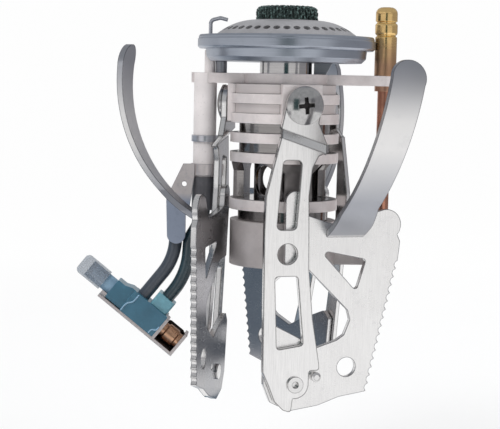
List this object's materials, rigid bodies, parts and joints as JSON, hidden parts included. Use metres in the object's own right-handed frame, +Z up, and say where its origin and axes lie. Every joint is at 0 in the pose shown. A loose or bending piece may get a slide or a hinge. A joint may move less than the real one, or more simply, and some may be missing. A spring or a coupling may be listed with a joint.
{
  "type": "camping gas stove",
  "caption": "Folding canister-top camping stove with a finned burner body, swing-out toothed pot supports, a heat-return rod and a push-button spark igniter.",
  "frame": {"origin": "centre of the canister thread's mouth, on the underside of the base", "axes": "+Z up along the burner axis, -Y towards the camera, +X towards the heat rod"},
  "size_m": [0.1057, 0.0919, 0.1235],
  "materials": {
    "blasted_aluminium": "bead blasted",
    "dark_steel": "satin",
    "satin_steel": "satin",
    "sheet_steel": "polished",
    "bright_steel": "polished",
    "bright_neck": "polished",
    "dark_mesh": "knitted wire",
    "brass": "turned",
    "copper": "drawn",
    "dark_knob": "knurled",
    "dark_rubber": "matt",
    "ceramic": "fired, matt",
    "lead_sleeve": "glossy",
    "teal_plastic": "moulded",
    "light_plastic": "moulded",
    "clear_plastic": "translucent moulded"
  },
  "bodies": {
    "stove": {"base_mount": "blasted_aluminium", "valve_block": "blasted_aluminium", "finned_body": "blasted_aluminium", "air_shroud": "dark_steel", "gas_jet": "brass", "mixing_tube": "bright_neck", "top_plate": "blasted_aluminium", "burner_struts": "bright_steel", "burner_bowl": "dark_steel", "burner_ring": "satin_steel", "burner_cap": "satin_steel", "flame_mesh": "dark_mesh", "canister_seal": "dark_rubber", "depressor_pin": "brass", "spindle_seal": "dark_rubber", "spindle_gland": "brass", "heat_rod": "copper", "heat_head": "brass", "rod_collar": "brass", "electrode_wire": "bright_steel", "electrode_ceramic": "ceramic", "insulator_tube": "ceramic", "insulator_clip": "sheet_steel", "insulator_boot": "dark_rubber", "igniter_bracket": "sheet_steel", "lead_ht": "lead_sleeve", "lead_earth": "lead_sleeve", "lead_collar": "teal_plastic", "igniter_body": "teal_plastic", "igniter_frame": "bright_steel", "igniter_contact": "copper", "pivot_screws": "bright_steel", "wave_washers": "bright_steel"},
    "valve": {"valve_spindle": "brass", "valve_knob": "dark_knob"},
    "button": {"igniter_button": "clear_plastic", "igniter_plunger": "light_plastic"},
    "leg_a": {"leg_bar_a": "sheet_steel", "leg_rivet_a": "bright_steel"},
    "support_a": {"pot_support_a": "sheet_steel", "stop_pin_a": "bright_steel"},
    "leg_b": {"leg_bar_b": "sheet_steel", "leg_rivet_b": "bright_steel"},
    "support_b": {"pot_support_b": "sheet_steel", "stop_pin_b": "bright_steel"},
    "leg_c": {"leg_bar_c": "sheet_steel", "leg_rivet_c": "bright_steel"},
    "support_c": {"pot_support_c": "sheet_steel", "stop_pin_c": "bright_steel"}
  },
  "joints": [
    {"name": "valve_turn", "type": "hinge", "parent": "stove", "child": "valve", "pos_m": [0, 0, 0.0111], "axis": [-0.309, 0.9511, 0], "range_deg": [0, 540]},
    {"name": "button_press", "type": "slide", "parent": "stove", "child": "button", "axis": [0.7804, 0, -0.6252], "range_m": [0, 0.003], "stiffness_N_per_m": 300},
    {"name": "leg_swing_a", "type": "hinge", "parent": "stove", "child": "leg_a", "pos_m": [0.00564, -0.01736, 0.0498], "axis": [0.309, -0.9511, 0], "range_deg": [0, 102]},
    {"name": "support_fold_a", "type": "hinge", "parent": "leg_a", "child": "support_a", "pos_m": [0.00425, -0.01891, -0.0344], "axis": [0.309, -0.9511, 0], "range_deg": [-95, 0]},
    {"name": "leg_swing_b", "type": "hinge", "parent": "stove", "child": "leg_b", "pos_m": [-0.01785, 0.00379, 0.0498], "axis": [-0.9781, 0.2079, 0], "range_deg": [-9, 93]},
    {"name": "support_fold_b", "type": "hinge", "parent": "leg_b", "child": "support_b", "pos_m": [-0.02125, -0.00713, -0.03365], "axis": [-0.9781, 0.2079, 0], "range_deg": [-95, 0]},
    {"name": "leg_swing_c", "type": "hinge", "parent": "stove", "child": "leg_c", "pos_m": [0.01221, 0.01356, 0.0498], "axis": [0.6691, 0.7431, 0], "range_deg": [-5, 97]},
    {"name": "support_fold_c", "type": "hinge", "parent": "leg_c", "child": "support_c", "pos_m": [0.00879, 0.01805, -0.03424], "axis": [0.6691, 0.7431, 0], "range_deg": [-95, 0]}
  ]
}
